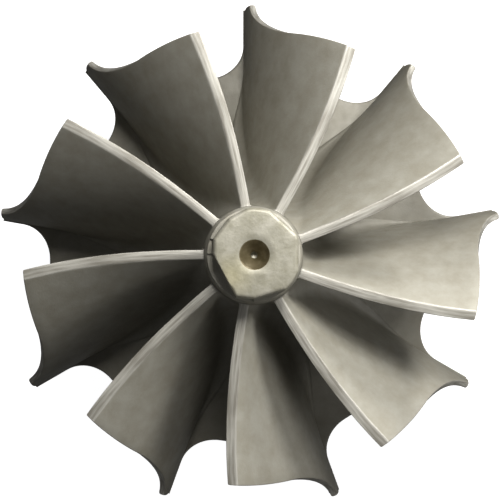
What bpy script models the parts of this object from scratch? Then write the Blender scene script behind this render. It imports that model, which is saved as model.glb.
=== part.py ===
"""Turbine wheel of a small turbocharger: one casting with a turned hub, nine curved blades,
a scalloped back disk, a centre-drilled nose with ground flats and a weld stub at the back.

Metres, +Z up along the wheel's axis. The origin is the centre of the stub's flat face, and
the wheel stands on it with its nose up."""

import math

import bmesh
import bpy

MM = 0.001

# Driving dimensions in millimetres, heights measured from the stub's flat face
BLADES = 9
INDUCER_RADIUS = 27.0
EXDUCER_RADIUS = 23.75
STUB_RADIUS = 7.5
STUB_CHAMFER = 0.5
BACK_Z = 5.0
BACK_DISH = 0.7
DISH_RADIUS = 18.8
STUB_FILLET = 1.2
RIM_RADIUS = 26.85
HUB_FLOOR_Z = 6.4
HUB_NECK_RADIUS = 5.1
HUB_NECK_RISE = 0.6
HUB_CURVE_RADIUS = 28.0
HUB_TOP_Z = 25.2
HUB_FULLNESS = 2.3

# Scallops of the disk, counter-clockwise from the blade nearest +X: the fifth is shallower
SCALLOP_RADII = (19.8, 19.8, 19.8, 19.8, 21.5, 19.8, 19.9, 20.2, 19.8)
SCALLOP_CORNER = 3.2
ARM_HALF_WIDTH = 0.58

# Nose boss, its ground flats as direction in degrees, distance from the axis and depth
NOSE_Z = 30.0
NOSE_RADIUS = 4.8
NOSE_CHAMFER = 0.3
NOSE_FLATS = (
    (0.0, 4.5, 2.2),
    (48.0, 4.44, 2.3),
    (119.0, 4.52, 2.4),
    (143.0, 4.33, 2.1),
    (180.0, 4.21, 2.5),
    (208.0, 3.68, 2.8),
    (262.7, 4.5, 2.25),
    (287.0, 4.33, 1.9),
)
CENTRE_RADIUS = 1.5
CENTRE_DEPTH = 1.3
PILOT_RADIUS = 0.35
PILOT_DEPTH = 0.5

# Blades: where they start and end along the axis, how far they turn, how thick they are
LEADING_ANGLE = 10.1
LEADING_TOP_Z = 11.2
SHROUD_BEND_Z = 19.2
SHROUD_FULLNESS = 1.5
TRAILING_TIP_Z = 25.3
TRAILING_HUB_Z = 25.8
WRAP_START_Z = 8.5
TIP_WRAP = 25.3
HUB_EXTRA_WRAP = 4.4
LEAN_POWER = 1.8
TIP_THICKNESS = 0.66
ROOT_THICKNESS = 0.95
ROOT_BELLY = 0.7
ROOT_FILLET = 1.1
ROOT_FLARE = 0.75
ROOT_SINK = 0.5
FILLET_START = 0.2
FILLET_FULL = 0.45
FILLET_FADE = 0.85
FILLET_AT_END = 0.35

# How finely the round and curved shapes are divided
STEPS = 90
CENTRE_STEPS = 30
HUB_POINTS = 14
LINE_POINTS = 200
STREAM_STATIONS = 13
FILLET_FRACTIONS = (0.3, 0.65, 1.0)
SPAN_FRACTIONS = (0.2, 0.45, 0.72, 1.0)
CORNER_STEPS = 6
SCALLOP_BOTTOM = (0.5, 0.0, -0.5)

# How far the cutters reach past what they cut, and the size of the blocks for the flats
CUT_REACH = 2.0
CENTRE_REACH = 0.5
BLOCK = 12.0
SLOPE_STEP = 0.01


def new_collection(name):
    collection = bpy.data.collections.new(name)
    bpy.context.scene.collection.children.link(collection)
    return collection


def new_object(name, mesh, collection):
    obj = bpy.data.objects.new(name, mesh)
    collection.objects.link(obj)
    return obj


def hide_tool(obj):
    obj.hide_render = True
    obj.display_type = "WIRE"


def mesh_from(bm, name):
    """Close the edit: outward faces, then a mesh of its own."""
    bmesh.ops.recalc_face_normals(bm, faces=bm.faces)
    mesh = bpy.data.meshes.new(name)
    bm.to_mesh(mesh)
    bm.free()
    return mesh


def hub_point(turn):
    """Hub contour at turn 0 (neck, running along the axis) to 1 (floor, running outward)."""
    angle = turn * math.pi / 2
    across = math.cos(angle) ** (2 / HUB_FULLNESS)
    down = math.sin(angle) ** (2 / HUB_FULLNESS)
    radius = HUB_CURVE_RADIUS - (HUB_CURVE_RADIUS - HUB_NECK_RADIUS) * across
    height = HUB_TOP_Z - (HUB_TOP_Z - HUB_FLOOR_Z) * down
    return radius, height


def floor_height(radius):
    """Height of the hub contour at a radius."""
    across = (HUB_CURVE_RADIUS - radius) / (HUB_CURVE_RADIUS - HUB_NECK_RADIUS)
    down = (1 - across ** HUB_FULLNESS) ** (1 / HUB_FULLNESS)
    return HUB_TOP_Z - (HUB_TOP_Z - HUB_FLOOR_Z) * down


def hub_line():
    """Hub contour from the floor at the inducer radius in to the blades' end at the neck."""
    points = [(HUB_NECK_RADIUS, TRAILING_HUB_Z)]
    for i in range(LINE_POINTS + 1):
        radius, height = hub_point(i / LINE_POINTS)
        if radius < INDUCER_RADIUS:
            points.append((radius, height))
    points.append((INDUCER_RADIUS, floor_height(INDUCER_RADIUS)))
    return list(reversed(points))


def shroud_line():
    """Blade tip line from the leading edge, round the bend, up to the trailing edge."""
    points = []
    for i in range(LINE_POINTS + 1):
        angle = i / LINE_POINTS * math.pi / 2
        inward = math.sin(angle) ** (2 / SHROUD_FULLNESS)
        below = math.cos(angle) ** (2 / SHROUD_FULLNESS)
        radius = INDUCER_RADIUS - (INDUCER_RADIUS - EXDUCER_RADIUS) * inward
        points.append((radius, SHROUD_BEND_Z - (SHROUD_BEND_Z - LEADING_TOP_Z) * below))
    points.append((EXDUCER_RADIUS, TRAILING_TIP_Z))
    return points


def spaced(points, count):
    """The given number of points at equal distances along a line of points."""
    lengths = [0.0]
    for (r0, z0), (r1, z1) in zip(points, points[1:]):
        lengths.append(lengths[-1] + math.hypot(r1 - r0, z1 - z0))
    result = []
    place = 0
    for i in range(count):
        target = lengths[-1] * i / (count - 1)
        while place < len(points) - 2 and lengths[place + 1] < target:
            place += 1
        share = (target - lengths[place]) / (lengths[place + 1] - lengths[place])
        r0, z0 = points[place]
        r1, z1 = points[place + 1]
        result.append((r0 + share * (r1 - r0), z0 + share * (z1 - z0)))
    return result


def blade_turn(radius, height):
    """How far, in radians, the blade has turned clockwise at a radius and a height."""
    rise = max(0.0, height - WRAP_START_Z) / (TRAILING_TIP_Z - WRAP_START_Z)
    lean = HUB_EXTRA_WRAP * (1 - (radius / EXDUCER_RADIUS) ** LEAN_POWER)
    return math.radians(TIP_WRAP + lean) * rise ** 2


def blade_slope(radius, height):
    """Length factor of the slanted blade: its width along the circle over its thickness."""
    out = blade_turn(radius + SLOPE_STEP, height) - blade_turn(radius - SLOPE_STEP, height)
    up = blade_turn(radius, height + SLOPE_STEP) - blade_turn(radius, height - SLOPE_STEP)
    across = radius * out / (2 * SLOPE_STEP)
    along = radius * up / (2 * SLOPE_STEP)
    return math.sqrt(1 + across ** 2 + along ** 2)


def span_stations(length):
    """Distances from the hub surface: below it, in the fillet, then up to the tip."""
    stations = [-ROOT_SINK]
    stations += [ROOT_FILLET * share for share in FILLET_FRACTIONS]
    stations += [ROOT_FILLET + (length - ROOT_FILLET) * share for share in SPAN_FRACTIONS]
    return stations


def smooth_step(value, low, high):
    share = min(1.0, max(0.0, (value - low) / (high - low)))
    return share * share * (3 - 2 * share)


def fillet_share(along):
    """How much of the root fillet there is: none at the leading edge, little at the trailing."""
    rise = smooth_step(along, FILLET_START, FILLET_FULL)
    return rise * (1 - (1 - FILLET_AT_END) * smooth_step(along, FILLET_FADE, 1.0))


def blade_thickness(distance, length, along):
    """Blade thickness at a distance from the hub, and a share of the way along the stream."""
    share = min(1.0, max(0.0, distance / length))
    plain = ROOT_THICKNESS + (TIP_THICKNESS - ROOT_THICKNESS) * share
    belly = ROOT_BELLY * math.sin(math.pi * along) ** 2 * (1 - share) ** 2
    flare = 2 * ROOT_FLARE * (1 - min(distance, ROOT_FILLET) / ROOT_FILLET) ** 2
    return plain + belly + flare * fillet_share(along)


def blade_mesh(name):
    """All the blades as one mesh of separate closed lofts."""
    hub = spaced(hub_line(), STREAM_STATIONS)
    shroud = spaced(shroud_line(), STREAM_STATIONS)
    bm = bmesh.new()
    for blade in range(BLADES):
        start = math.radians(LEADING_ANGLE + 360 / BLADES * blade)
        sides = {-1: [], 1: []}
        for i, ((hr, hz), (sr, sz)) in enumerate(zip(hub, shroud)):
            along = i / (STREAM_STATIONS - 1)
            length = math.hypot(sr - hr, sz - hz)
            for side in sides:
                row = []
                for distance in span_stations(length):
                    radius = hr + (sr - hr) * distance / length
                    height = hz + (sz - hz) * distance / length
                    thickness = blade_thickness(distance, length, along)
                    half = thickness / 2 * blade_slope(radius, height) / radius
                    angle = start - blade_turn(radius, height) + side * half
                    x = radius * math.cos(angle)
                    y = radius * math.sin(angle)
                    row.append(bm.verts.new((x * MM, y * MM, height * MM)))
                sides[side].append(row)
        loft_between(bm, sides[1], sides[-1])
    return mesh_from(bm, name)


def loft_between(bm, front, back):
    """Close the space between two grids of points with quads."""
    rows = len(front)
    columns = len(front[0])
    for i in range(rows - 1):
        for j in range(columns - 1):
            for grid in (front, back):
                corners = (grid[i][j], grid[i][j + 1], grid[i + 1][j + 1], grid[i + 1][j])
                bm.faces.new(corners)
    for i in range(rows - 1):
        for j in (0, columns - 1):
            bm.faces.new((front[i][j], front[i + 1][j], back[i + 1][j], back[i][j]))
    for j in range(columns - 1):
        for i in (0, rows - 1):
            bm.faces.new((front[i][j], front[i][j + 1], back[i][j + 1], back[i][j]))


def turned(name, profile, steps, collection):
    """A solid of revolution from a profile of radius and height, top to bottom."""
    mesh = bpy.data.meshes.new(name)
    points = [(radius * MM, 0.0, height * MM) for radius, height in profile]
    mesh.from_pydata(points, [(i, i + 1) for i in range(len(points) - 1)], [])
    obj = new_object(name, mesh, collection)
    screw = obj.modifiers.new("turn", "SCREW")
    screw.axis = "Z"
    screw.steps = steps
    screw.render_steps = steps
    screw.use_merge_vertices = True
    screw.merge_threshold = 0.00001
    screw.use_smooth_shade = True
    return obj


def hub_profile():
    """Nose, neck, hub contour, rim, dished back and stub, from the top down to the axis."""
    profile = [(0.0, NOSE_Z), (NOSE_RADIUS - NOSE_CHAMFER, NOSE_Z)]
    profile.append((NOSE_RADIUS, NOSE_Z - NOSE_CHAMFER))
    profile.append((HUB_NECK_RADIUS, HUB_TOP_Z + HUB_NECK_RISE))
    for i in range(HUB_POINTS + 1):
        radius, height = hub_point(i / HUB_POINTS)
        if radius < RIM_RADIUS:
            profile.append((radius, height))
    profile.append((RIM_RADIUS, floor_height(RIM_RADIUS)))
    profile.append((RIM_RADIUS, BACK_Z))
    profile.append((DISH_RADIUS, BACK_Z))
    foot = BACK_Z - BACK_DISH
    fillet_steps = 3
    for i in range(fillet_steps + 1):
        angle = math.pi / 2 * i / fillet_steps
        radius = STUB_RADIUS + STUB_FILLET * (1 - math.sin(angle))
        profile.append((radius, foot - STUB_FILLET * (1 - math.cos(angle))))
    profile.append((STUB_RADIUS, STUB_CHAMFER))
    profile.append((STUB_RADIUS - STUB_CHAMFER, 0.0))
    profile.append((0.0, 0.0))
    return profile


def scallop_outline(middle, bottom):
    """Outline of one scallop: two straight flanks, two round corners and a bottom arc."""
    pitch = math.radians(360 / BLADES)
    corner = bottom + SCALLOP_CORNER
    half = [(INDUCER_RADIUS + CUT_REACH, ARM_HALF_WIDTH)]
    for i in range(CORNER_STEPS + 1):
        angle = math.pi / 2 * i / CORNER_STEPS
        radius = corner - SCALLOP_CORNER * math.sin(angle)
        half.append((radius, ARM_HALF_WIDTH + SCALLOP_CORNER * (1 - math.cos(angle))))
    flank = [(radius, pitch / 2 - math.asin(aside / radius)) for radius, aside in half]
    last = flank[-1][1]
    base = [(bottom, last * share) for share in SCALLOP_BOTTOM]
    outline = flank + base + [(radius, -angle) for radius, angle in reversed(flank)]
    return [(r * math.cos(middle + a), r * math.sin(middle + a)) for r, a in outline]


def scallop_cutter(collection):
    """One flat outline for each space between two blades, cut right through the disk."""
    curve = bpy.data.curves.new("scallops", "CURVE")
    curve.dimensions = "2D"
    curve.fill_mode = "BOTH"
    curve.extrude = (INDUCER_RADIUS - BACK_Z) / 2 * MM
    for blade, bottom in enumerate(SCALLOP_RADII):
        middle = math.radians(LEADING_ANGLE + 360 / BLADES * (blade + 0.5))
        outline = scallop_outline(middle, bottom)
        spline = curve.splines.new("POLY")
        spline.points.add(len(outline) - 1)
        for point, (x, y) in zip(spline.points, outline):
            point.co = (x * MM, y * MM, 0.0, 1.0)
        spline.use_cyclic_u = True
    flat = new_object("scallop_outlines", curve, collection)
    flat.location.z = BACK_Z * MM
    bpy.context.view_layer.update()
    evaluated = flat.evaluated_get(bpy.context.evaluated_depsgraph_get())
    mesh = bpy.data.meshes.new_from_object(evaluated)
    bm = bmesh.new()
    bm.from_mesh(mesh)
    bmesh.ops.remove_doubles(bm, verts=bm.verts, dist=1e-7)
    cutter = new_object("scallop_cutter", mesh_from(bm, "scallop_cutter"), collection)
    cutter.matrix_world = flat.matrix_world
    bpy.data.objects.remove(flat)
    hide_tool(cutter)
    return cutter


def flat_cutters(collection):
    """A block outside each ground flat of the nose."""
    cutters = []
    for i, (direction, distance, depth) in enumerate(NOSE_FLATS):
        bm = bmesh.new()
        bmesh.ops.create_cube(bm, size=BLOCK * MM)
        cutter = new_object(f"nose_flat_{i + 1}", mesh_from(bm, "nose_flat"), collection)
        turn = math.radians(direction)
        reach = distance + BLOCK / 2
        height = NOSE_Z - depth + BLOCK / 2
        cutter.location = (reach * math.cos(turn) * MM, reach * math.sin(turn) * MM, height * MM)
        cutter.rotation_euler.z = turn
        hide_tool(cutter)
        cutters.append(cutter)
    return cutters


def centre_cutter(collection):
    """The cone of the centre drill and its pilot."""
    slope = (CENTRE_RADIUS - PILOT_RADIUS) / CENTRE_DEPTH
    foot = NOSE_Z - CENTRE_DEPTH - PILOT_DEPTH
    profile = [(0.0, NOSE_Z + CENTRE_REACH)]
    profile.append((CENTRE_RADIUS + slope * CENTRE_REACH, NOSE_Z + CENTRE_REACH))
    profile.append((PILOT_RADIUS, NOSE_Z - CENTRE_DEPTH))
    profile.append((PILOT_RADIUS, foot))
    profile.append((0.0, foot - PILOT_RADIUS / 2))
    cutter = turned("centre_cutter", profile, CENTRE_STEPS, collection)
    hide_tool(cutter)
    return cutter


def join(obj, tool, operation):
    step = obj.modifiers.new(tool.name, "BOOLEAN")
    step.operation = operation
    step.solver = "EXACT"
    step.object = tool


def cast_metal():
    material = bpy.data.materials.new("cast_nickel_alloy")
    material.use_nodes = True
    surface = material.node_tree.nodes["Principled BSDF"]
    surface.inputs["Base Color"].default_value = (0.47, 0.44, 0.38, 1.0)
    surface.inputs["Metallic"].default_value = 1.0
    surface.inputs["Roughness"].default_value = 0.48
    return material


def build():
    for obj in list(bpy.data.objects):
        bpy.data.objects.remove(obj)
    parts = new_collection("turbine_wheel")
    tools = new_collection("cutters")
    wheel = turned("turbine_wheel", hub_profile(), STEPS, parts)
    wheel.data.materials.append(cast_metal())
    join(wheel, scallop_cutter(tools), "DIFFERENCE")
    blades = new_object("blades", blade_mesh("blades"), tools)
    hide_tool(blades)
    join(wheel, blades, "UNION")
    for cutter in flat_cutters(tools):
        join(wheel, cutter, "DIFFERENCE")
    join(wheel, centre_cutter(tools), "DIFFERENCE")


build()
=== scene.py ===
"""The look of a small turbine wheel: the casting at full detail, its metal, and a plain studio.

Metres, +Z up along the wheel's axis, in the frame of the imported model."""

import math

import bpy
from mathutils import Matrix, Vector

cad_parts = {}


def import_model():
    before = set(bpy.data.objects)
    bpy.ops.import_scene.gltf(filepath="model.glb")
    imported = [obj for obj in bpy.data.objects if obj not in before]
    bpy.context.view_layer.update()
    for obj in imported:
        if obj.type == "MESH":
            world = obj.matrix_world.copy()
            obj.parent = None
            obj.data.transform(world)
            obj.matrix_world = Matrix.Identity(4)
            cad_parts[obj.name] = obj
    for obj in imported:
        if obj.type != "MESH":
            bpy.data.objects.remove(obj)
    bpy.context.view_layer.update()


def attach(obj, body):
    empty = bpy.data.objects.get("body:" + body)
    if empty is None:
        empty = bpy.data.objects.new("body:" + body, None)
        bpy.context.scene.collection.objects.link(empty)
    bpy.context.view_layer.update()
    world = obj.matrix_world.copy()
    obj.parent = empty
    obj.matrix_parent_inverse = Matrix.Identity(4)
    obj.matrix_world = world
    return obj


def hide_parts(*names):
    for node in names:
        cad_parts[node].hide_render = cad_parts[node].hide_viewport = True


MM = 0.001

# Wheel, in millimetres, heights from the stub's flat face
BLADES = 9
INDUCER_RADIUS = 27.0
EXDUCER_RADIUS = 23.75
STUB_RADIUS = 7.5
STUB_CHAMFER = 0.5
BACK_Z = 5.0
BACK_DISH = 0.7
STUB_FILLET = 1.2
RIM_RADIUS = 26.85
HUB_FLOOR_Z = 6.4
HUB_NECK_RADIUS = 5.1
HUB_CURVE_RADIUS = 28.0
HUB_TOP_Z = 25.2
HUB_FULLNESS = 2.3
SCALLOP_CORNER = 3.2
ARM_HALF_WIDTH = 0.58
DISH_RADIUS = 18.8
EDGE_ROUND = 0.2
NECK_INSIDE = 1.0
STUB_MIDDLE = 0.02
HUB_SHARP = 40

# Scallops of the disk, counter-clockwise from the blade nearest +X: the fifth is shallower
SCALLOP_RADII = (19.8, 19.8, 19.8, 19.8, 21.5, 19.8, 19.9, 20.2, 19.8)

# Nose boss: flats as direction in degrees, distance from the axis and depth of the cut
NOSE_Z = 30.0
NOSE_RADIUS = 4.8
NOSE_FACE_ROUND = 0.42
FLAT_EDGE_ROUND = 0.14
SHARP_FROM = 0.5
SHARP_TO = 0.9
SHALLOW_LEDGE = 2.2
LEAST_FACING = 0.1
NOSE_FLATS = (
    (0.0, 4.5, 2.2),
    (48.0, 4.44, 2.3),
    (119.0, 4.52, 2.4),
    (143.0, 4.33, 2.1),
    (180.0, 4.21, 2.5),
    (208.0, 3.68, 2.8),
    (262.7, 4.5, 2.25),
    (287.0, 4.33, 1.9),
)
CENTRE_RADIUS = 1.5
CENTRE_DEPTH = 1.3
PILOT_RADIUS = 0.35
PILOT_DEPTH = 0.5
NOSE_SHARP = 35

# Small steps of the nose: collar above the neck, corner of a ledge, mouth and tip of the hole
COLLAR_FOOT = 0.4
COLLAR_RISE = 0.9
COLLAR_TOP = 1.5
COLLAR_PROUD = 0.03
LEDGE_ROUND = 0.1
LEDGE_EASE = 0.03
LEDGE_CORNER = 0.08
LEDGE_SLOPE = 0.01
FACE_RADII = (3.2, 2.3)
MOUTH_FLAT = 0.06
MOUTH_EASE = 0.03
MOUTH_WIDTH = 0.12
MOUTH_DEPTH = 0.16
PILOT_TAPER = 0.9
PILOT_TIP = 0.1
PILOT_MIDDLE = 0.01

# Blades
LEADING_ANGLE = 10.1
LEADING_TOP_Z = 11.2
SHROUD_BEND_Z = 19.2
SHROUD_FULLNESS = 1.5
TRAILING_TIP_Z = 25.3
TRAILING_HUB_Z = 25.8
WRAP_START_Z = 8.5
TIP_WRAP = 25.3
HUB_EXTRA_WRAP = 4.4
LEAN_POWER = 1.8
TIP_THICKNESS = 0.66
ROOT_THICKNESS = 0.95
ROOT_BELLY = 0.7
ROOT_FILLET = 1.5
FILLET_START = 0.2
FILLET_FULL = 0.5
FILLET_FADE = 0.85
FILLET_AT_END = 0.12
SMALLEST_FILLET = 0.02
ROOT_SINK = 0.12
LEADING_ROUND = 0.3
LEADING_BLUNT = 0.75
EDGE_BREAK = 0.1

# How finely the shapes are divided
LINE_POINTS = 400
STREAM_STATIONS = 56
SPAN_STATIONS = 26
FILLET_POINTS = 9
HUB_RINGS = 44
BACK_RINGS = 18
ROUND_STEPS = 4
ARM_STEPS = 4
FLANK_STEPS = 6
CORNER_STEPS = 14
BOTTOM_STEPS = 12
NOSE_STEPS = 360
EDGE_STEPS = 5
CONE_STEPS = 5
SLOPE_STEP = 0.01
LEADING_SHARES = (0.0, 0.0012, 0.003, 0.006, 0.01)
TRAILING_SHARES = (0.01, 0.0035, 0.0018, 0.0006, 0.0)
TIP_SHARES = (0.6, 0.25, 0.0)
FILLET_CROWDING = 1.5
BACK_CROWDING = 0.8
TRAILING_BANDS = 3
PILOT_BANDS = 2

# Camera, from the photograph: millimetres, degrees and pixels
CAMERA_DISTANCE = 400.0
PIXELS_PER_MM = 9.10
PHOTO_WIDTH = 500
SENSOR_WIDTH = 36.0
LEAN_RIGHT = 1.35
LEAN_UP = 1.0
AIM_RIGHT = 0.25
AIM_UP = 1.0

# Metals, as linear colours, and the stain on the nose by its middle and reach in millimetres
# The first and last cast colours are painted shade deep in the passages and painted light at the
# blades' upper ends.
CAST_DEEP_PAINTED_SHADE = (0.21, 0.2, 0.165)
CAST_MIDDLE = (0.285, 0.272, 0.228)
CAST_OUTER_PAINTED_LIGHT = (0.38, 0.365, 0.31)
EDGE_DARK = (0.24, 0.225, 0.19)
EDGE_LIGHT = (0.47, 0.455, 0.405)
FACE_DARK = (0.28, 0.265, 0.2)
FACE_LIGHT = (0.44, 0.42, 0.35)
STAIN = (0.98, 0.95, 0.78)
STAIN_MIDDLE = (-2.4, -2.2, 30.0)
STAIN_REACH = 2.6
HOLE_DARK = (0.1, 0.08, 0.04)
HOLE_LIGHT = (0.17, 0.14, 0.08)
BLOTCH = (0.82, 0.8, 0.76)
WHITE = (1.0, 1.0, 1.0)

# Gloss and grain: patches per millimetre, how far the roughness strays, height in millimetres
GLOSS_PATCHES = 1.1
PATCH_LOW = 0.3
PATCH_HIGH = 0.7
SMOOTHER = 0.06
ROUGHER = 0.08
GRAIN_HEIGHT = 0.05

# Studio: each light's direction and height above the floor in degrees, distance and size in
# millimetres, power in watts and colour
WARM = (1.0, 0.99, 0.97)
LIGHTS = (
    ("key", 40.0, 45.0, 140.0, 42.0, 0.127, WARM),
    ("top", 80.0, 62.0, 140.0, 42.0, 0.12, WARM),
    ("low", 60.0, 10.0, 500.0, 120.0, 1.1, WARM),
    ("side", -30.0, 45.0, 140.0, 42.0, 0.016, WARM),
    ("right", 0.0, 4.0, 65.0, 30.0, 0.004, WHITE),
)
AMBIENT = 0.095
FLOOR_DROP = 0.2
FLOOR_SIZE = 3000.0
FLOOR_GLOW = 0.97
FLOOR_GREY = 0.5


def new_object(name, verts, faces, materials):
    mesh = bpy.data.meshes.new(name)
    mesh.from_pydata([(x * MM, y * MM, z * MM) for x, y, z in verts], [], faces)
    mesh.update()
    obj = bpy.data.objects.new(name, mesh)
    bpy.context.scene.collection.objects.link(obj)
    for material in materials:
        mesh.materials.append(material)
    mesh.shade_smooth()
    return obj


def ring_faces(rings, count):
    """Quads between rings of points that lie one after the other."""
    faces = []
    for k in range(rings - 1):
        a = k * count
        b = a + count
        for i in range(count):
            j = (i + 1) % count
            faces.append((a + i, a + j, b + j, b + i))
    return faces


def smooth_step(value, low, high):
    share = min(1.0, max(0.0, (value - low) / (high - low)))
    return share * share * (3 - 2 * share)


# The hub contour


def hub_point(turn):
    """Hub contour at turn 0 (neck, running along the axis) to 1 (floor, running outward)."""
    angle = turn * math.pi / 2
    across = math.cos(angle) ** (2 / HUB_FULLNESS)
    down = math.sin(angle) ** (2 / HUB_FULLNESS)
    radius = HUB_CURVE_RADIUS - (HUB_CURVE_RADIUS - HUB_NECK_RADIUS) * across
    height = HUB_TOP_Z - (HUB_TOP_Z - HUB_FLOOR_Z) * down
    return radius, height


def hub_turn_at(radius):
    """The turn of hub_point that lies at a radius."""
    across = (HUB_CURVE_RADIUS - radius) / (HUB_CURVE_RADIUS - HUB_NECK_RADIUS)
    return math.acos(across ** (HUB_FULLNESS / 2)) / (math.pi / 2)


def floor_height(radius):
    """Height of the hub contour at a radius."""
    across = (HUB_CURVE_RADIUS - radius) / (HUB_CURVE_RADIUS - HUB_NECK_RADIUS)
    down = (1 - across ** HUB_FULLNESS) ** (1 / HUB_FULLNESS)
    return HUB_TOP_Z - (HUB_TOP_Z - HUB_FLOOR_Z) * down


def fine_hub_contour(count):
    """Hub contour from the blades' trailing end at the neck out to the inducer radius."""
    points = [(HUB_NECK_RADIUS, TRAILING_HUB_Z)]
    for i in range(count + 1):
        radius, height = hub_point(i / count)
        if radius < INDUCER_RADIUS:
            points.append((radius, height))
    points.append((INDUCER_RADIUS, floor_height(INDUCER_RADIUS)))
    return points


def fine_shroud_contour(count):
    """Blade tip line from the leading edge, round the bend, up to the trailing edge."""
    points = []
    for i in range(count + 1):
        angle = i / count * math.pi / 2
        inward = math.sin(angle) ** (2 / SHROUD_FULLNESS)
        below = math.cos(angle) ** (2 / SHROUD_FULLNESS)
        radius = INDUCER_RADIUS - (INDUCER_RADIUS - EXDUCER_RADIUS) * inward
        points.append((radius, SHROUD_BEND_Z - (SHROUD_BEND_Z - LEADING_TOP_Z) * below))
    points.append((EXDUCER_RADIUS, TRAILING_TIP_Z))
    return points


def along_line(points):
    """A function that gives the point at a distance along a line of points, and its length."""
    lengths = [0.0]
    for (r0, z0), (r1, z1) in zip(points, points[1:]):
        lengths.append(lengths[-1] + math.hypot(r1 - r0, z1 - z0))

    def at(distance):
        target = min(lengths[-1], max(0.0, distance))
        low = 0
        high = len(points) - 2
        while low < high:
            middle = (low + high + 1) // 2
            if lengths[middle] <= target:
                low = middle
            else:
                high = middle - 1
        share = (target - lengths[low]) / (lengths[low + 1] - lengths[low])
        r0, z0 = points[low]
        r1, z1 = points[low + 1]
        return r0 + share * (r1 - r0), z0 + share * (z1 - z0)

    return at, lengths[-1]


# The blades


def blade_turn(radius, height):
    """How far, in radians, the blade has turned clockwise at a radius and a height."""
    rise = max(0.0, height - WRAP_START_Z) / (TRAILING_TIP_Z - WRAP_START_Z)
    lean = HUB_EXTRA_WRAP * (1 - (radius / EXDUCER_RADIUS) ** LEAN_POWER)
    return math.radians(TIP_WRAP + lean) * rise ** 2


def blade_slope(radius, height):
    """Length factor of the slanted blade: its width along the circle over its thickness."""
    out = blade_turn(radius + SLOPE_STEP, height) - blade_turn(radius - SLOPE_STEP, height)
    up = blade_turn(radius, height + SLOPE_STEP) - blade_turn(radius, height - SLOPE_STEP)
    across = radius * out / (2 * SLOPE_STEP)
    along = radius * up / (2 * SLOPE_STEP)
    return math.sqrt(1 + across ** 2 + along ** 2)


def fillet_share(along):
    """How much of the root fillet there is: none at the leading edge, little at the trailing."""
    rise = smooth_step(along, FILLET_START, FILLET_FULL)
    return rise * (1 - (1 - FILLET_AT_END) * smooth_step(along, FILLET_FADE, 1.0))


def fillet_width(distance, along):
    """Extra half thickness of the blade in the round fillet at its root."""
    size = ROOT_FILLET * fillet_share(along)
    if size < SMALLEST_FILLET or distance >= size:
        return 0.0
    inside = 1 - max(0.0, distance) / size
    return size * (1 - math.sqrt(max(0.0, 1 - inside ** 2)))


def broken_edge(away):
    """What the rounded edge takes off the half thickness at a distance from the edge."""
    if away >= EDGE_BREAK:
        return 0.0
    inside = 1 - away / EDGE_BREAK
    return EDGE_BREAK * (1 - math.sqrt(max(0.0, 1 - inside ** 2)))


def half_thickness(distance, length, along, from_start, to_end):
    """Half the blade's thickness: rounded leading edge, broken edges at tip and trailing end."""
    share = min(1.0, max(0.0, distance / length))
    plain = ROOT_THICKNESS + (TIP_THICKNESS - ROOT_THICKNESS) * share
    belly = ROOT_BELLY * math.sin(math.pi * along) ** 2 * (1 - share) ** 2
    half = (plain + belly) / 2
    if from_start < LEADING_ROUND:
        inside = 1 - from_start / LEADING_ROUND
        half *= math.sqrt(max(0.0, 1 - inside ** 2 * LEADING_BLUNT))
    half -= broken_edge(to_end) + broken_edge(length - distance)
    return half + fillet_width(distance, along)


def stream_places(count):
    """Shares along the blade, closer together at both ends where the edges are rounded."""
    start = LEADING_SHARES[-1]
    span = 1 - start - TRAILING_SHARES[0]
    middle = [start + span * i / (count - 1) for i in range(1, count - 1)]
    return list(LEADING_SHARES) + middle + [1 - share for share in TRAILING_SHARES]


def span_places(length, count):
    """Distances from the hub surface up to the tip, close together in the fillet."""
    places = [-ROOT_SINK]
    for i in range(FILLET_POINTS):
        places.append(ROOT_FILLET * (i / (FILLET_POINTS - 1)) ** FILLET_CROWDING)
    rest = length - ROOT_FILLET - EDGE_BREAK
    above = count - FILLET_POINTS
    places += [ROOT_FILLET + rest * i / above for i in range(1, above + 1)]
    places += [length - EDGE_BREAK * share for share in TIP_SHARES]
    return places


def blade_section(start, along, hub, shroud, mean):
    """Points round the blade at a share along the stream, and their places for the streaks."""
    length = math.dist(hub, shroud)
    stations = span_places(length, SPAN_STATIONS)
    points = []
    runs = []
    for side, order in ((1, stations), (-1, reversed(stations))):
        for distance in order:
            radius = hub[0] + (shroud[0] - hub[0]) * distance / length
            height = hub[1] + (shroud[1] - hub[1]) * distance / length
            half = half_thickness(distance, length, along, along * mean, (1 - along) * mean)
            turn = half * blade_slope(radius, height) / radius
            angle = start - blade_turn(radius, height) + side * turn
            points.append((radius * math.cos(angle), radius * math.sin(angle), height))
            runs.append((distance + along * mean, side * half))
    return points, runs


def build_blade(index, materials):
    """One blade: up its one side from the hub, over the tip and down the other.

    Its map runs along the narrow machined edges and across them, in millimetres."""
    hub_at, hub_length = along_line(list(reversed(fine_hub_contour(LINE_POINTS))))
    shroud_at, shroud_length = along_line(fine_shroud_contour(LINE_POINTS))
    mean = (hub_length + shroud_length) / 2
    start = math.radians(LEADING_ANGLE + 360 / BLADES * index)
    verts = []
    runs = []
    places = stream_places(STREAM_STATIONS)
    for along in places:
        hub = hub_at(along * hub_length)
        shroud = shroud_at(along * shroud_length)
        points, places_across = blade_section(start, along, hub, shroud, mean)
        verts += points
        runs += places_across
    columns = len(verts) // len(places)
    faces = []
    for i in range(len(places) - 1):
        for j in range(columns - 1):
            a = i * columns + j
            faces.append((a, a + columns, a + columns + 1, a + 1))
    half_way = columns // 2
    for row in (0, len(places) - 1):
        base = row * columns
        for j in range(half_way - 1):
            quad = (base + j, base + j + 1, base + columns - 2 - j, base + columns - 1 - j)
            faces.append(quad if row == 0 else tuple(reversed(quad)))
    obj = new_object(f"blade_{index + 1}", verts, faces, materials)
    mark_machined(obj, columns, len(places))
    layer = obj.data.uv_layers.new(name="run")
    for loop in obj.data.loops:
        layer.data[loop.index].uv = runs[loop.vertex_index]
    return obj


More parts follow.
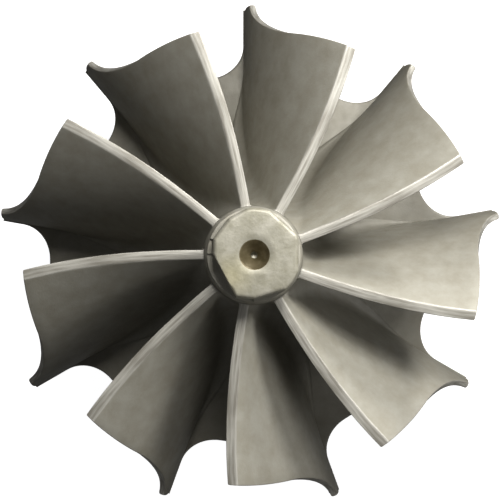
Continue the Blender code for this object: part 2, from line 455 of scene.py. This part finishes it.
def mark_machined(obj, columns, rows):
    """The turned tip line and the trailing edge take the bright machined metal."""
    half_way = columns // 2
    bands = columns - 1
    last = rows - 1
    for i, face in enumerate(obj.data.polygons):
        row, column = divmod(i, bands)
        at_tip = row < last and abs(column - (half_way - 1)) <= 1
        near_end = last - TRAILING_BANDS <= row < last
        at_end = i >= last * bands + half_way - 1
        if at_tip or near_end or at_end:
            face.material_index = 1


# The scalloped disk and the hub


def half_scallop(bottom):
    """Half an arm's end, its flank, the round corner and half the scallop, as radius and angle."""
    corner = bottom + SCALLOP_CORNER
    points = [(RIM_RADIUS, ARM_HALF_WIDTH * i / ARM_STEPS) for i in range(ARM_STEPS + 1)]
    for i in range(1, FLANK_STEPS + 1):
        points.append((RIM_RADIUS + (corner - RIM_RADIUS) * i / FLANK_STEPS, ARM_HALF_WIDTH))
    for i in range(1, CORNER_STEPS + 1):
        angle = math.pi / 2 * i / CORNER_STEPS
        radius = corner - SCALLOP_CORNER * math.sin(angle)
        points.append((radius, ARM_HALF_WIDTH + SCALLOP_CORNER * (1 - math.cos(angle))))
    polar = [(radius, math.asin(aside / radius)) for radius, aside in points]
    last = polar[-1][1]
    half_pitch = math.pi / BLADES
    for i in range(1, BOTTOM_STEPS + 1):
        polar.append((bottom, last + (half_pitch - last) * i / BOTTOM_STEPS))
    return polar


def disk_outline():
    """Outline of the scalloped disk as radius and angle, one arm after the other."""
    outline = []
    for arm in range(BLADES):
        centre = math.radians(LEADING_ANGLE + 360 / BLADES * arm)
        before = half_scallop(SCALLOP_RADII[arm - 1])
        after = half_scallop(SCALLOP_RADII[arm])
        outline += [(radius, centre - angle) for radius, angle in reversed(before[1:-1])]
        outline += [(radius, centre + angle) for radius, angle in after]
    return outline


def back_height(radius):
    """Height of the disk's back face, dished towards the stub."""
    inner = STUB_RADIUS + STUB_FILLET
    share = min(1.0, max(0.0, (radius - inner) / (DISH_RADIUS - inner)))
    if radius <= inner:
        inside = (inner - radius) / STUB_FILLET
        return BACK_Z - BACK_DISH - STUB_FILLET * (1 - math.sqrt(max(0.0, 1 - inside ** 2)))
    return BACK_Z - BACK_DISH * (1 - share)


def inset_point(outline, i, inset):
    """A point of the outline moved inwards, square to the outline."""
    points = []
    for k in (-1, 0, 1):
        radius, angle = outline[(i + k) % len(outline)]
        points.append(Vector((radius * math.cos(angle), radius * math.sin(angle))))
    run = (points[2] - points[0]).normalized()
    inward = Vector((-run.y, run.x))
    return points[1] + inward * inset


def level_ring(angles, radius, height):
    return [(radius * math.cos(a), radius * math.sin(a), height) for a in angles]


def on_ray(edge, radius, height):
    """A point straight inside or outside a point of the outline."""
    return edge.x / edge.length * radius, edge.y / edge.length * radius, height


def upper_rings(inner):
    """The hub surface from the neck out to the disk's rounded edge."""
    rings = []
    for k in range(1, HUB_RINGS + 1):
        ring = []
        for edge in inner:
            radius, height = hub_point(hub_turn_at(edge.length) * k / HUB_RINGS)
            ring.append(on_ray(edge, radius, height))
        rings.append(ring)
    return rings


def edge_rings(outline, inner):
    """The disk's rounded upper edge, its wall and its rounded lower edge."""
    rings = []
    for k in range(1, ROUND_STEPS + 1):
        angle = math.pi / 2 * k / ROUND_STEPS
        ring = []
        for i, edge in enumerate(inner):
            point = inset_point(outline, i, EDGE_ROUND * (1 - math.sin(angle)))
            top = floor_height(edge.length)
            ring.append((point.x, point.y, top - EDGE_ROUND * (1 - math.cos(angle))))
        rings.append(ring)
    for k in range(ROUND_STEPS + 1):
        angle = math.pi / 2 * k / ROUND_STEPS
        ring = []
        for i in range(len(outline)):
            point = inset_point(outline, i, EDGE_ROUND * (1 - math.cos(angle)))
            ring.append((point.x, point.y, BACK_Z + EDGE_ROUND * (1 - math.sin(angle))))
        rings.append(ring)
    return rings


def back_rings(inner):
    """The back face from the disk's edge in to the stub."""
    rings = []
    for k in range(1, BACK_RINGS + 1):
        share = (k / BACK_RINGS) ** BACK_CROWDING
        ring = []
        for edge in inner:
            radius = edge.length + (STUB_RADIUS - edge.length) * share
            ring.append(on_ray(edge, radius, back_height(radius)))
        rings.append(ring)
    return rings


def build_hub(materials):
    """Hub surface, the disk's rounded edge, its back face and the weld stub as one skin."""
    outline = disk_outline()
    angles = [place[1] for place in outline]
    count = len(outline)
    inner = [inset_point(outline, i, EDGE_ROUND) for i in range(count)]
    rings = [level_ring(angles, HUB_NECK_RADIUS, HUB_TOP_Z + NECK_INSIDE)]
    rings.append(level_ring(angles, HUB_NECK_RADIUS, HUB_TOP_Z))
    rings += upper_rings(inner) + edge_rings(outline, inner) + back_rings(inner)
    rings.append(level_ring(angles, STUB_RADIUS, STUB_CHAMFER))
    rings.append(level_ring(angles, STUB_RADIUS - STUB_CHAMFER, 0.0))
    rings.append(level_ring(angles, STUB_RADIUS / 2, 0.0))
    rings.append(level_ring(angles, STUB_MIDDLE, 0.0))
    verts = [point for ring in rings for point in ring]
    faces = [(a, d, c, b) for a, b, c, d in ring_faces(len(rings), count)]
    obj = new_object("hub_and_disk", verts, faces, materials)
    obj.data.set_sharp_from_angle(angle=math.radians(HUB_SHARP))
    return obj


# The nose


def nose_section(angle):
    """Radius of the nose's face in one direction, how deep the cut goes there, edge rounding."""
    radius = NOSE_RADIUS
    depth = SHALLOW_LEDGE
    for direction, distance, cut in NOSE_FLATS:
        facing = math.cos(angle - math.radians(direction))
        if facing > LEAST_FACING and distance / facing < radius:
            radius = distance / facing
            depth = cut
    ground = smooth_step(NOSE_RADIUS - radius, SHARP_FROM, SHARP_TO)
    return radius, depth, NOSE_FACE_ROUND + (FLAT_EDGE_ROUND - NOSE_FACE_ROUND) * ground


def nose_wall(section):
    """Wall and ledge of the nose in one direction, from the neck up to the face's edge."""
    radius, depth, edge = section
    ledge = NOSE_Z - depth
    overhang = NOSE_RADIUS - radius
    wall = [(HUB_NECK_RADIUS, HUB_TOP_Z + COLLAR_FOOT)]
    wall.append((HUB_NECK_RADIUS, HUB_TOP_Z + COLLAR_RISE))
    wall.append((NOSE_RADIUS + COLLAR_PROUD, HUB_TOP_Z + COLLAR_TOP))
    wall.append((NOSE_RADIUS, ledge - LEDGE_ROUND))
    wall.append((NOSE_RADIUS - min(LEDGE_EASE, overhang), ledge - LEDGE_EASE))
    wall.append((NOSE_RADIUS - min(LEDGE_ROUND, overhang), ledge))
    wall.append((radius + min(LEDGE_CORNER, overhang), ledge + LEDGE_SLOPE))
    wall.append((radius, ledge + LEDGE_CORNER))
    for k in range(EDGE_STEPS + 1):
        turn = math.pi / 2 * k / EDGE_STEPS
        wall.append((radius - edge * (1 - math.cos(turn)), NOSE_Z - edge * (1 - math.sin(turn))))
    return wall


def centre_hole():
    """Countersunk mouth, cone and pilot of the centre drilling, from the face down."""
    mouth = CENTRE_RADIUS - MOUTH_WIDTH
    hole = [(CENTRE_RADIUS, NOSE_Z - MOUTH_EASE), (mouth, NOSE_Z - MOUTH_DEPTH)]
    for k in range(1, CONE_STEPS + 1):
        share = k / CONE_STEPS
        depth = MOUTH_DEPTH + (CENTRE_DEPTH - MOUTH_DEPTH) * share
        hole.append((mouth + (PILOT_RADIUS - mouth) * share, NOSE_Z - depth))
    bottom = NOSE_Z - CENTRE_DEPTH - PILOT_DEPTH
    hole.append((PILOT_RADIUS, bottom + PILOT_DEPTH / 2))
    hole.append((PILOT_RADIUS * PILOT_TAPER, bottom))
    hole.append((PILOT_MIDDLE, bottom - PILOT_TIP))
    return hole


def build_nose(materials):
    """The boss above the blades: wall, ledges of the ground flats, face and centre hole."""
    angles = [2 * math.pi * i / NOSE_STEPS for i in range(NOSE_STEPS)]
    face = [(radius, NOSE_Z) for radius in FACE_RADII + (CENTRE_RADIUS + MOUTH_FLAT,)]
    hole = centre_hole()
    columns = [nose_wall(nose_section(angle)) + face + hole for angle in angles]
    rings = len(columns[0])
    verts = []
    for k in range(rings):
        for column, angle in zip(columns, angles):
            radius, height = column[k]
            verts.append((radius * math.cos(angle), radius * math.sin(angle), height))
    obj = new_object("nose", verts, ring_faces(rings, NOSE_STEPS), materials)
    obj.data.set_sharp_from_angle(angle=math.radians(NOSE_SHARP))
    face_rings = rings - len(face) - len(hole) - 1 - EDGE_STEPS
    hole_rings = rings - len(hole) - 1
    pilot_rings = rings - 1 - PILOT_BANDS
    for i, polygon in enumerate(obj.data.polygons):
        ring = i // NOSE_STEPS
        # The centre drilling's mouth and cone are dark brown; its pilot keeps the face metal.
        dark_hole_band = hole_rings <= ring < pilot_rings
        polygon.material_index = 2 if dark_hole_band else int(ring >= face_rings)
    return obj


# Materials


def noise(tree, scale, detail, roughness=0.5):
    """Noise in the object's own space, scale in features per millimetre."""
    place = tree.nodes.new("ShaderNodeTexCoord")
    texture = tree.nodes.new("ShaderNodeTexNoise")
    texture.inputs["Scale"].default_value = scale / MM
    texture.inputs["Detail"].default_value = detail
    texture.inputs["Roughness"].default_value = roughness
    tree.links.new(place.outputs["Object"], texture.inputs["Vector"])
    return texture.outputs["Fac"]


def streaks(tree, along, across):
    """Noise drawn out along the machined edges, in features per millimetre each way."""
    place = tree.nodes.new("ShaderNodeTexCoord")
    stretch = tree.nodes.new("ShaderNodeMapping")
    stretch.inputs["Scale"].default_value = (along, across, 1.0)
    texture = tree.nodes.new("ShaderNodeTexNoise")
    texture.inputs["Scale"].default_value = 1.0
    texture.inputs["Detail"].default_value = 3
    tree.links.new(place.outputs["UV"], stretch.inputs["Vector"])
    tree.links.new(stretch.outputs["Vector"], texture.inputs["Vector"])
    return texture.outputs["Fac"]


def ramp(tree, value, stops):
    """Colours at their places along a value."""
    node = tree.nodes.new("ShaderNodeValToRGB")
    elements = node.color_ramp.elements
    while len(elements) < len(stops):
        elements.new(0.5)
    for element, (place, colour) in zip(elements, stops):
        element.position = place
        element.color = (*colour, 1)
    tree.links.new(value, node.inputs["Fac"])
    return node.outputs["Color"]


def spread(tree, value, low, high, to_low, to_high):
    node = tree.nodes.new("ShaderNodeMapRange")
    node.inputs["From Min"].default_value = low
    node.inputs["From Max"].default_value = high
    node.inputs["To Min"].default_value = to_low
    node.inputs["To Max"].default_value = to_high
    tree.links.new(value, node.inputs["Value"])
    return node.outputs["Result"]


def height_share(tree):
    """0 at the bottom of the passages, 1 at the blades' upper ends."""
    place = tree.nodes.new("ShaderNodeTexCoord")
    parts = tree.nodes.new("ShaderNodeSeparateXYZ")
    tree.links.new(place.outputs["Object"], parts.inputs["Vector"])
    return spread(tree, parts.outputs["Z"], HUB_FLOOR_Z * MM, TRAILING_TIP_Z * MM, 0, 1)


def blended(tree, kind, first, second):
    node = tree.nodes.new("ShaderNodeMix")
    node.data_type = "RGBA"
    node.blend_type = kind
    node.inputs["Factor"].default_value = 1.0
    tree.links.new(first, node.inputs["A"])
    tree.links.new(second, node.inputs["B"])
    return node.outputs["Result"]


def finish_metal(tree, colour, metallic, roughness, grain, grain_scale):
    """Colour, uneven gloss and a fine grain, in features per millimetre, on a metal."""
    surface = tree.nodes["Principled BSDF"]
    surface.inputs["Metallic"].default_value = metallic
    tree.links.new(colour, surface.inputs["Base Color"])
    patches = noise(tree, GLOSS_PATCHES, detail=3)
    gloss = spread(
        tree, patches, PATCH_LOW, PATCH_HIGH, roughness - SMOOTHER, roughness + ROUGHER
    )
    tree.links.new(gloss, surface.inputs["Roughness"])
    bump = tree.nodes.new("ShaderNodeBump")
    bump.inputs["Strength"].default_value = grain
    bump.inputs["Distance"].default_value = GRAIN_HEIGHT * MM
    tree.links.new(noise(tree, grain_scale, detail=3, roughness=0.6), bump.inputs["Height"])
    tree.links.new(bump.outputs["Normal"], surface.inputs["Normal"])


def new_material(name):
    material = bpy.data.materials.new(name)
    material.use_nodes = True
    return material


def cast_skin_and_painted_shade():
    """Blasted casting, darker deep in the passages as painted shade and lighter towards the blades'
    ends as painted light.
    """
    material = new_material("cast_skin_and_painted_shade")
    tree = material.node_tree
    # Painted shade at the bottom of the passages and painted light towards the blades' upper ends,
    # by height.
    deep = ramp(tree, height_share(tree), ((0.0, CAST_DEEP_PAINTED_SHADE), (0.4, CAST_MIDDLE), (1.0, CAST_OUTER_PAINTED_LIGHT)))
    patches = noise(tree, scale=0.5, detail=6, roughness=0.6)
    blotches = ramp(tree, patches, ((0.33, BLOTCH), (0.67, WHITE)))
    colour = blended(tree, "MULTIPLY", deep, blotches)
    finish_metal(tree, colour, metallic=0.2, roughness=0.5, grain=0.35, grain_scale=4.5)
    return material


def machined_edge():
    """Ground edges of the blades, with streaks along them."""
    material = new_material("machined_edge")
    tree = material.node_tree
    lines = streaks(tree, along=0.22, across=5.0)
    colour = ramp(tree, lines, ((0.36, EDGE_DARK), (0.66, EDGE_LIGHT)))
    finish_metal(tree, colour, metallic=0.3, roughness=0.42, grain=0.2, grain_scale=6.0)
    return material


def nose_face():
    """The nose's face and flats, scratched and stained."""
    material = new_material("nose_face")
    tree = material.node_tree
    patches = noise(tree, scale=0.45, detail=6, roughness=0.65)
    scuffs = ramp(tree, patches, ((0.35, FACE_DARK), (0.65, FACE_LIGHT)))
    place = tree.nodes.new("ShaderNodeTexCoord")
    away = tree.nodes.new("ShaderNodeVectorMath")
    away.operation = "DISTANCE"
    away.inputs[1].default_value = [value * MM for value in STAIN_MIDDLE]
    tree.links.new(place.outputs["Object"], away.inputs[0])
    reach = spread(tree, away.outputs["Value"], 0, STAIN_REACH * MM, 0, 1)
    stain = ramp(tree, reach, ((0.2, STAIN), (1.0, WHITE)))
    colour = blended(tree, "MULTIPLY", scuffs, stain)
    finish_metal(tree, colour, metallic=0.3, roughness=0.45, grain=0.5, grain_scale=2.2)
    return material


def centre_hole_skin():
    """Dark brown in the centre drilling."""
    material = new_material("centre_hole")
    tree = material.node_tree
    patches = noise(tree, scale=1.2, detail=4)
    colour = ramp(tree, patches, ((0.35, HOLE_DARK), (0.65, HOLE_LIGHT)))
    finish_metal(tree, colour, metallic=0.4, roughness=0.35, grain=0.3, grain_scale=4.0)
    return material


# Studio


def add_light(name, azimuth, elevation, distance, size, power, colour):
    light = bpy.data.lights.new(name, "AREA")
    light.shape = "DISK"
    light.size = size * MM
    light.energy = power
    light.color = colour
    obj = bpy.data.objects.new(name, light)
    bpy.context.scene.collection.objects.link(obj)
    around = math.radians(azimuth)
    rise = math.radians(elevation)
    across = math.cos(rise)
    way = Vector((math.cos(around) * across, math.sin(around) * across, math.sin(rise)))
    place = way * distance * MM
    middle = Vector((0, 0, NOSE_Z / 2 * MM))
    obj.location = place
    obj.rotation_euler = (middle - place).to_track_quat("-Z", "Y").to_euler()
    obj.visible_camera = False


def build_floor():
    """A white floor that only the camera sees, so that it doesn't light the wheel from below."""
    material = new_material("floor_white")
    surface = material.node_tree.nodes["Principled BSDF"]
    surface.inputs["Base Color"].default_value = (FLOOR_GREY, FLOOR_GREY, FLOOR_GREY, 1)
    surface.inputs["Roughness"].default_value = 1.0
    surface.inputs["Specular IOR Level"].default_value = 0.0
    surface.inputs["Emission Color"].default_value = (*WHITE, 1)
    surface.inputs["Emission Strength"].default_value = FLOOR_GLOW
    far = FLOOR_SIZE
    corners = [(-far, -far), (far, -far), (far, far), (-far, far)]
    verts = [(x, y, -FLOOR_DROP) for x, y in corners]
    floor = new_object("floor", verts, [(0, 1, 2, 3)], [material])
    floor.visible_diffuse = False
    floor.visible_glossy = False
    floor.visible_transmission = False
    floor.visible_shadow = False


def build_studio():
    build_floor()
    world = bpy.data.worlds.new("studio")
    bpy.context.scene.world = world
    world.use_nodes = True
    background = world.node_tree.nodes["Background"]
    background.inputs["Color"].default_value = (*WHITE, 1)
    background.inputs["Strength"].default_value = AMBIENT
    for light in LIGHTS:
        add_light(*light)
    bpy.context.scene.view_settings.view_transform = "Standard"


def build_camera():
    right = math.radians(LEAN_RIGHT)
    up = math.radians(LEAN_UP)
    back = Vector((-math.sin(right) * math.cos(up), -math.sin(up), math.cos(right) * math.cos(up)))
    above = Vector((-math.sin(right) * math.sin(up), math.cos(up), math.cos(right) * math.sin(up)))
    side = above.cross(back)
    camera = bpy.data.cameras.new("camera")
    camera.sensor_width = SENSOR_WIDTH
    camera.lens = SENSOR_WIDTH * PIXELS_PER_MM * CAMERA_DISTANCE / PHOTO_WIDTH
    camera.clip_start = 0.01
    camera.clip_end = 20.0
    obj = bpy.data.objects.new("camera", camera)
    bpy.context.scene.collection.objects.link(obj)
    place = (back * CAMERA_DISTANCE + side * AIM_RIGHT + above * AIM_UP) * MM
    turn = Matrix((side, above, back)).transposed()
    obj.matrix_world = Matrix.Translation(place) @ turn.to_4x4()
    bpy.context.scene.camera = obj


def build():
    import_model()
    cast_and_painted_shade = cast_skin_and_painted_shade()
    machined = machined_edge()
    hub = build_hub([cast_and_painted_shade])
    nose = build_nose([cast_and_painted_shade, nose_face(), centre_hole_skin()])
    blades = [build_blade(index, [cast_and_painted_shade, machined]) for index in range(BLADES)]
    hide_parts("turbine_wheel")
    for piece in [hub, nose] + blades:
        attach(piece, "root")
    build_studio()
    build_camera()


build()
